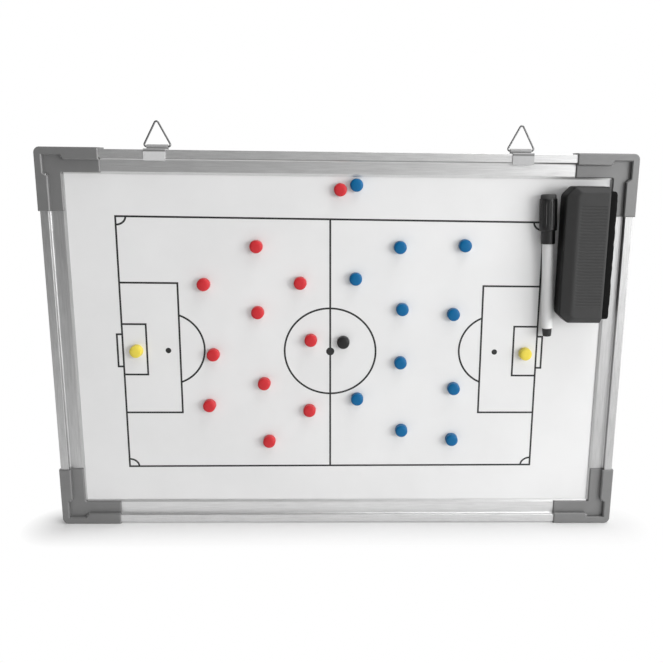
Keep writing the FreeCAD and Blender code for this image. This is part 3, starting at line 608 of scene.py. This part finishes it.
def quarter_round(inside, radius):
    """How far a quarter circle of a radius draws a face in, from how far inside its edge a point lies."""
    short = np.maximum(radius - inside, 0)
    return radius - np.sqrt(np.maximum(radius**2 - short**2, 0))


def grip_plastic():
    """Black plastic with a fine moulded grain: grey on its front and shoulders, and near-black as painted
    shade on its sides and ends.
    """
    finish = new_finish("grained_black_plastic")
    grain = finish.noise(0.4 * MM, 2.0)
    patchy = finish.noise(18 * MM, 3.0)
    low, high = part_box("eraser_grip")
    shoulder = (low.y + high.y) / 2 - GRIP_DEEP + GRIP_DROP
    place = finish.node("ShaderNodeTexCoord", {}, {}, "Object")
    depth = finish.node("ShaderNodeSeparateXYZ", {}, {"Vector": place}, "Y")
    # Painted shade: behind the shoulders, on the sides and ends, the colour goes near-black.
    unshaded_front = depth.between(shoulder + SIDE_SHADE_FROM, shoulder + SIDE_SHADE_WHOLE) * (0.85 + 0.3 * patchy)
    return finish.surface({
        "Base Color": finish.blend(unshaded_front, shade(22, 22, 22), shade(61, 61, 61)),
        "Roughness": 0.5 + 0.2 * grain,
        "Specular IOR Level": 0.25,
        "Normal": finish.bump(grain, 0.03 * MM),
    })


def grip_skin():
    """The grip: at every height its section is a flat-sided loop in depth and width.

    Going up the length, the left edge moves in by the cut corner, and the depth is the least of
    the face, the slope of the left shoulder and the slope of the end shoulder. Fine waves across
    the front are the ribs, and close to the ends everything draws in along a quarter circle.
    """
    low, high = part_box("eraser_grip")
    half = GRIP_LENGTH / 2
    near_end = half - END_ROUND * (1 - np.cos(np.linspace(0, np.pi / 2, 7)))
    straight = np.linspace(-half + END_ROUND, half - END_ROUND, 401)
    rows = np.concatenate([-near_end[:-1], straight, near_end[:-1][::-1]])
    from_end = half - np.abs(rows)
    draw = quarter_round(from_end, END_ROUND)
    left = -soft_least(0 * rows, from_end - GRIP_CORNER, CORNER_BLEND)
    left = np.maximum(left, 0) + draw
    share = np.linspace(0, 1, 49)
    x = left[:, None] + (GRIP_WIDE - left)[:, None] * share**1.5
    over = x - left[:, None]
    slope = GRIP_DEEP - GRIP_DROP + GRIP_DROP * over / GRIP_SHOULDER
    end_slope = GRIP_DEEP - GRIP_DROP + GRIP_DROP * from_end[:, None] / GRIP_END_SHOULDER
    deep = soft_least(slope, end_slope + 0 * x, SHOULDER_BLEND)
    deep = soft_least(deep, GRIP_DEEP + 0 * x, FACE_BLEND) - draw[:, None]
    deep -= quarter_round(over, EDGE_ROUND)
    deep -= quarter_round(GRIP_WIDE - x, RIM_ROUND)
    ribbed = (np.clip((x - GRIP_SHOULDER - RIB_MARGIN) / RIB_FADE, 0, 1)
              * np.clip((GRIP_WIDE - RIB_MARGIN - x) / RIB_FADE, 0, 1)
              * np.clip((from_end[:, None] - RIB_END_MARGIN) / RIB_FADE, 0, 1))
    wave = 0.5 + 0.5 * np.cos(2 * np.pi * rows / RIB_PITCH)
    front = deep - RIB_DEEP * ribbed * wave[:, None] ** 3
    middle = (low.y + high.y) / 2
    across = np.concatenate([x[:, ::-1], x], 1)
    depth = np.concatenate([middle - front[:, ::-1], middle + deep], 1)
    height = np.broadcast_to(((low.z + high.z) / 2 + rows)[:, None], across.shape)
    return shell(np.stack([low.x + across, depth, height], -1))


FELT_EDGE, FELT_MIDDLE = 1.6 * MM, 1.2 * MM
FELT_WAVES = (7 * MM, 2.9 * MM, 1.3 * MM)


def felt_finish():
    """Pressed black wool felt: matted fibres at two sizes, and a little chalky dust."""
    finish = new_finish("black_felt")
    fibre = finish.noise(0.5 * MM, 4.0, (1.0, 1.0, 0.4))
    clump = finish.noise(2.6 * MM, 3.0)
    return finish.surface({
        "Base Color": finish.blend(clump, shade(8, 8, 8), shade(22, 22, 22)),
        "Roughness": 0.9 + 0.1 * fibre,
        "Specular IOR Level": 0.2,
        "Normal": finish.bump(0.6 * fibre + 0.4 * clump, 0.25 * MM),
    })


def felt_pad():
    """The pad: rounded rectangles stacked from the glue line to the wiping face and in to its middle.

    Each ring is drawn in by the same distance all round. That distance follows a quarter circle at
    the edge, and slow waves along the length make the cut edge uneven.
    """
    low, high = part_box("eraser_felt")
    half_y, half_z, deep = (high.y - low.y) / 2, (high.z - low.z) / 2, high.x - low.x
    turn = np.linspace(0, np.pi / 2, 9)
    inset = np.concatenate([[0.4 * MM, 0.1 * MM, 0, 0, 0], FELT_EDGE * (1 - np.cos(turn)),
                            np.linspace(FELT_EDGE, half_y - FELT_MIDDLE, 12)[1:]])
    rise = np.concatenate([np.array([0, 0.1, 0.3, 0.5, 0.7]) * (deep - FELT_EDGE),
                           deep - FELT_EDGE + FELT_EDGE * np.sin(turn), np.full(11, deep)])
    along = np.linspace(-1, 1, 121)
    cross = np.linspace(-1, 1, 33)
    loop_y = np.concatenate([-np.ones(120), cross[:-1], np.ones(120), -cross[:-1]])
    loop_z = np.concatenate([-along[:-1], -np.ones(32), along[:-1], np.ones(32)])
    squeeze = np.minimum(1, (np.abs(loop_y) ** 12 + np.abs(loop_z) ** 60) ** (-1 / 24))
    y = loop_y * squeeze * (half_y - inset)[:, None]
    z = loop_z * squeeze * (half_z - inset)[:, None]
    slow, middling, quick = FELT_WAVES
    wave = (np.sin(z / slow + 1.0) + 0.6 * np.sin(z / middling + y / (4 * MM))
            + 0.4 * np.sin(z / quick))
    x = rise[:, None] * (1 - 0.035 * np.abs(wave) - 0.02)
    return shell(np.stack([low.x + x, (low.y + high.y) / 2 + y, (low.z + high.z) / 2 + z], -1))


charcoal = grip_plastic()
piece("eraser_shell", [(grip_skin(), charcoal)], "eraser", "eraser_grip", 50.0)
pad = piece("eraser_pad", [(felt_pad(), felt_finish())], "eraser", "eraser_felt", 60.0)
paint("eraser_magnets", ferrite)


# Marker pen: a white polypropylene barrel with a pressed-in tail plug, an ink rod and a bullet nib,
# and a fluted black cap with a magnet in its flat and a small felt set into its end.
PEN_TILT = math.radians(2.8)
PLUG, BARREL, HOLDER_NECK = 6.6, 67.8, 79.9
BARREL_RADIUS, BARREL_BORE, SPIGOT, SPIGOT_LENGTH = 4.35, 3.5, 3.45, 6
ROD_FOOT, ROD_TOP, ROD_RADIUS = 12.7, 66.3, 3.2
NIB, NIB_BORE, CONE_TIP, CONE_LENGTH, COLLAR = 1.5, 1.55, 2.2, 6, 4.1
barrel_low, barrel_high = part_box("pen_barrel")
lean = np.array([-math.sin(PEN_TILT), 0, math.cos(PEN_TILT)])
aside = np.array([math.cos(PEN_TILT), 0, math.sin(PEN_TILT)])
pen_tail = (np.array(barrel_low) + np.array(barrel_high)) / 2 - lean * (PLUG + BARREL / 2) * MM


def on_pen(rings):
    """Rings about the pen's axis, in millimetres from its tail, leant over and put in place."""
    rings = rings * MM
    return pen_tail + rings[..., :1] * aside + rings[..., 1:2] * np.array([0, 1, 0]) + rings[..., 2:] * lean


def smooth_plastic(name, dark, light, rough):
    """Plain moulded plastic with faint flow lines along the pen and light scuffs."""
    finish = new_finish(name)
    flow = finish.noise(3 * MM, 2.0, (1.0, 1.0, 0.1))
    scuff = finish.noise(0.7 * MM, 3.0)
    return finish.surface({
        "Base Color": finish.blend(flow, shade(*dark), shade(*light)),
        "Roughness": rough + 0.14 * scuff,
        "Normal": finish.bump(scuff, 0.005 * MM),
    })


def fibre_finish(name, dark, light):
    """Bonded fibre drawn along the pen."""
    finish = new_finish(name)
    strand = finish.noise(0.35 * MM, 3.0, (1.0, 1.0, 0.12))
    return finish.surface({
        "Base Color": finish.blend(strand, shade(*dark), shade(*light)),
        "Roughness": 0.85 + 0.15 * strand,
        "Normal": finish.bump(strand, 0.08 * MM),
    })


def pen_turning(corners, radii, around=72):
    """A turned pen piece from its rounded profile."""
    return shell(on_pen(turned(rounded(corners, radii), around)))


CAP_RIM, HEAD_FOOT, HEAD_TOP, HEAD_RADIUS = 72.4, 82.3, 106.4, 6.65
HEAD_BORE, SKIRT_BORE, SKIRT_RADIUS, FELT_SEAT = 3.7, 4.65, 5.3, 6.05
END_FELT, END_FELT_FOOT, END_FELT_TOP = 5.95, 103.5, 109.7
FLUTE_FOOT, FLUTE_TOP, FLUTE_DEPTH, FLUTES = 85.7, 104.3, 0.34, 16
FLAT_REACH = 6.15


def cap_profile():
    """The cap's half section, from the inside of its bore over skirt and head to the felt's seat.

    The head's straight run has many rows, so that the flutes can fade in and out along it.
    """
    lower = rounded([
        [HEAD_BORE, HEAD_FOOT + 10], [HEAD_BORE, HEAD_FOOT], [SKIRT_BORE, HEAD_FOOT - 0.4],
        [SKIRT_BORE, CAP_RIM], [SKIRT_RADIUS, CAP_RIM], [SKIRT_RADIUS, HEAD_FOOT],
        [HEAD_RADIUS, HEAD_FOOT + 0.4], [HEAD_RADIUS, FLUTE_FOOT]],
        [0.05, 0.05, 0.1, 0.2, 0.35, 0.9], 7)
    upper = rounded([[HEAD_RADIUS, FLUTE_TOP], [HEAD_RADIUS, HEAD_TOP], [FELT_SEAT, HEAD_TOP],
                     [FELT_SEAT, HEAD_TOP - 3]], [0.5, 0.1], 7)
    rows = np.linspace(FLUTE_FOOT, FLUTE_TOP, 29)[1:-1, None]
    return np.concatenate([lower, np.hstack([0 * rows + HEAD_RADIUS, rows]), upper])


def fluted_cap():
    """The cap: its profile turned about the pen's axis, with flutes and a flat.

    On the head, the radius dips by a squared cosine of the turn, and what reaches past the flat
    that lies on the board is cut back to it.
    """
    profile = cap_profile()
    around = 18 * FLUTES
    rings = turned(profile, around)
    radius, height = profile[:, :1], profile[:, 1:]
    turn = np.linspace(0, 2 * np.pi, around, endpoint=False)
    fade = np.clip(height - FLUTE_FOOT, 0, 1) * np.clip(FLUTE_TOP - height, 0, 1)
    fade = fade * (radius == HEAD_RADIUS)
    dip = FLUTE_DEPTH * np.clip(np.cos(FLUTES * turn), 0, 1) ** 2 * fade
    rings[..., :2] *= ((radius - dip) / radius)[..., None]
    rings[..., 1] = np.where(radius > FLAT_REACH, np.minimum(rings[..., 1], FLAT_REACH), rings[..., 1])
    return shell(on_pen(rings))


black_plastic = smooth_plastic("black_pen_plastic", (16, 16, 16), (26, 26, 26), 0.32)
white_plastic = smooth_plastic("white_pen_plastic", (232, 232, 231), (240, 240, 240), 0.24)
ink_fibre = fibre_finish("inked_fibre", (22, 22, 24), (48, 48, 50))
paint("pen_cap_magnet", ferrite)

barrel = [[BARREL_BORE, PLUG], [BARREL_RADIUS, PLUG], [BARREL_RADIUS, PLUG + BARREL],
          [BARREL_BORE, PLUG + BARREL]]
piece("pen_tube", [(shell(on_pen(turned(np.array(barrel), 96)), True), white_plastic)],
      "pen", "pen_barrel", 30.0)
plug = [[0.3, 0], [3.2, 0], [3.85, PLUG - 0.05], [SPIGOT, PLUG - 0.05], [SPIGOT, PLUG + SPIGOT_LENGTH],
        [0.3, PLUG + SPIGOT_LENGTH]]
piece("pen_tail_plug", [(pen_turning(plug, [0.9, 0.1, 0.05, 0.3]), black_plastic)],
      "pen", "pen_end_plug", 30.0)
rod = [[0.3, ROD_FOOT], [ROD_RADIUS, ROD_FOOT], [ROD_RADIUS, ROD_TOP], [0.3, ROD_TOP]]
piece("pen_ink_rod", [(pen_turning(rod, [0.4, 0.4]), ink_fibre)], "pen", "pen_reservoir", 30.0)
neck = [[NIB_BORE, ROD_TOP + 0.1], [SPIGOT, ROD_TOP + 0.1], [SPIGOT, PLUG + BARREL + 0.05],
        [COLLAR, PLUG + BARREL + 0.05], [COLLAR, HOLDER_NECK], [CONE_TIP, HOLDER_NECK + CONE_LENGTH],
        [NIB_BORE, HOLDER_NECK + CONE_LENGTH]]
holder_rings = on_pen(turned(rounded(neck, [0.2, 0.05, 0.2, 0.8, 0.2]), 72))
piece("pen_nib_cone", [(shell(holder_rings, True), white_plastic)], "pen", "pen_nib_holder",
      30.0)
nib = [[0.2, ROD_TOP + 0.2], [NIB, ROD_TOP + 0.2], [NIB, HOLDER_NECK + 10], [0.1, HOLDER_NECK + 10]]
piece("pen_bullet_nib", [(pen_turning(nib, [0.1, 1.3]), ink_fibre)], "pen", "pen_nib", 40.0)
piece("pen_fluted_cap", [(fluted_cap(), black_plastic)], "pen_cap", "pen_cap", 35.0)
end_felt = [[0.3, END_FELT_FOOT], [END_FELT, END_FELT_FOOT], [END_FELT, END_FELT_TOP], [0.3, END_FELT_TOP]]
end_pad = piece("pen_end_felt", [(pen_turning(end_felt, [0.1, 1.5]),
                                  fibre_finish("grey_end_felt", (58, 58, 58), (84, 84, 84)))],
                "pen_cap", "pen_cap_felt", 40.0)


# Studio: a white floor and backdrop, in a room that is brighter to the right. One soft lamp stands there,
# and a second hangs over the floor, which keeps the board's shadow and is plain white away from it.
FOOT_HALF, FOOT_FADE = 0.22, 0.036
MIRROR_FAR, MIRROR_NEAR = -0.45, -0.25
ROOM_LIGHT, ROOM_SLOPE, ROOM_LEAST = 0.47, 0.8, 0.05


def seen_directly(finish, mirrored):
    """1 for what the camera sees, and a share for what it sees in metal or through something clear."""
    ray = {kind: finish.node("ShaderNodeLightPath", {}, {}, "Is %s Ray" % kind)
           for kind in ("Camera", "Glossy", "Transmission")}
    return ray["Camera"] + (ray["Glossy"] + ray["Transmission"]) * mirrored


def studio_floor():
    """Floor paint: lit as a plain surface at the board's foot, and plain white 36 mm away from it."""
    finish = new_finish("white_floor")
    tone = finish.noise(0.4, 2.0)
    lit = finish.node("ShaderNodeBsdfDiffuse", {},
                      {"Color": finish.blend(tone, (0.89, 0.89, 0.89), (0.91, 0.91, 0.91))}, "BSDF")
    place = finish.node("ShaderNodeTexCoord", {}, {}, "Object")
    across = finish.node("ShaderNodeSeparateXYZ", {}, {"Vector": place}, "X")
    back = finish.node("ShaderNodeSeparateXYZ", {}, {"Vector": place}, "Y")
    beside = finish.math("MAXIMUM", finish.math("ABSOLUTE", across) - FOOT_HALF, 0.0)
    away = finish.math("SQRT", beside * beside + back * back)
    mirrored = back.between(MIRROR_FAR, MIRROR_NEAR)
    glow = away.between(0.0, FOOT_FADE) * seen_directly(finish, mirrored)
    shine = finish.node("ShaderNodeEmission", {}, {"Color": (1.0, 1.0, 1.0), "Strength": 1.0}, "Emission")
    return finish.end(finish.node("ShaderNodeMixShader", {}, {0: glow, 1: lit, 2: shine}, "Shader"))


def studio_room():
    """The world: a white backdrop behind the board, and a room that brightens to the right."""
    sky = Finish(bpy.data.worlds.new("studio"))
    toward = sky.node("ShaderNodeTexCoord", {}, {}, "Generated")
    right = sky.node("ShaderNodeSeparateXYZ", {}, {"Vector": toward}, "X")
    behind = sky.node("ShaderNodeSeparateXYZ", {}, {"Vector": toward}, "Y").between(0.0, 0.3)
    white = {"Color": (1.0, 1.0, 1.0)}
    strength = sky.math("MAXIMUM", ROOM_LIGHT + ROOM_SLOPE * right, ROOM_LEAST)
    room = sky.node("ShaderNodeBackground", {}, {**white, "Strength": strength}, "Background")
    backdrop = sky.node("ShaderNodeBackground", {}, {**white, "Strength": 1.0}, "Background")
    mixed = {0: seen_directly(sky, behind), 1: room, 2: backdrop}
    both = sky.node("ShaderNodeMixShader", {}, mixed, "Shader")
    return sky.end(both, "ShaderNodeOutputWorld")


FLOOR = 4.0
floor_mesh = bpy.data.meshes.new("floor")
floor_mesh.from_pydata([(-FLOOR, -FLOOR, 0), (FLOOR, -FLOOR, 0), (FLOOR, FLOOR, 0), (-FLOOR, FLOOR, 0)], [],
                       [(0, 1, 2, 3)])
floor_mesh.materials.append(studio_floor())
floor = bpy.data.objects.new("floor", floor_mesh)
bpy.context.scene.collection.objects.link(floor)
bpy.context.scene.world = studio_room()


def lamp(name, place, aim, width, height, power):
    """A soft lamp, as wide and high as given, that looks at a point."""
    light = bpy.data.lights.new(name, "AREA")
    light.shape = "RECTANGLE"
    light.size, light.size_y = width, height
    light.energy = power
    thing = bpy.data.objects.new(name, light)
    away = np.array(place) - np.array(aim)
    away /= np.linalg.norm(away)
    right = np.cross([0, 0, 1], away)
    right /= np.linalg.norm(right)
    turn = np.eye(4)
    turn[:3, 0], turn[:3, 1], turn[:3, 2], turn[:3, 3] = right, np.cross(away, right), away, place
    thing.matrix_world = Matrix(turn.tolist())
    bpy.context.scene.collection.objects.link(thing)


lamp("key_lamp", (1.22, -0.98, 0.36), (0.0, 0.0, 0.15), 0.95, 0.64, 12.3)
lamp("floor_lamp", (0.5, -0.25, 1.5), (0.1, -0.15, 0.0), 1.0, 0.5, 8.0)

# Camera: the photograph is cut from a larger picture, so its middle is shifted off the lens's axis.
camera = bpy.data.cameras.new("camera")
camera.lens = 40.4525
camera.sensor_width = 36.0
camera.sensor_fit = "HORIZONTAL"
camera.shift_x, camera.shift_y = -0.05741, -0.01027
camera.clip_start = 0.01
eye = bpy.data.objects.new("camera", camera)
view = np.eye(4)
view[:3, 0] = (0.999586, -0.026189, 0.011594)
view[:3, 1] = (-0.005810, 0.211054, 0.977459)
view[:3, 2] = (-0.028050, -0.977124, 0.210815)
view[:3, 3] = (0.007072, -0.564096, 0.290203)
eye.matrix_world = Matrix(view.tolist())
bpy.context.scene.collection.objects.link(eye)
bpy.context.scene.camera = eye
bpy.context.scene.view_settings.view_transform = "Standard"
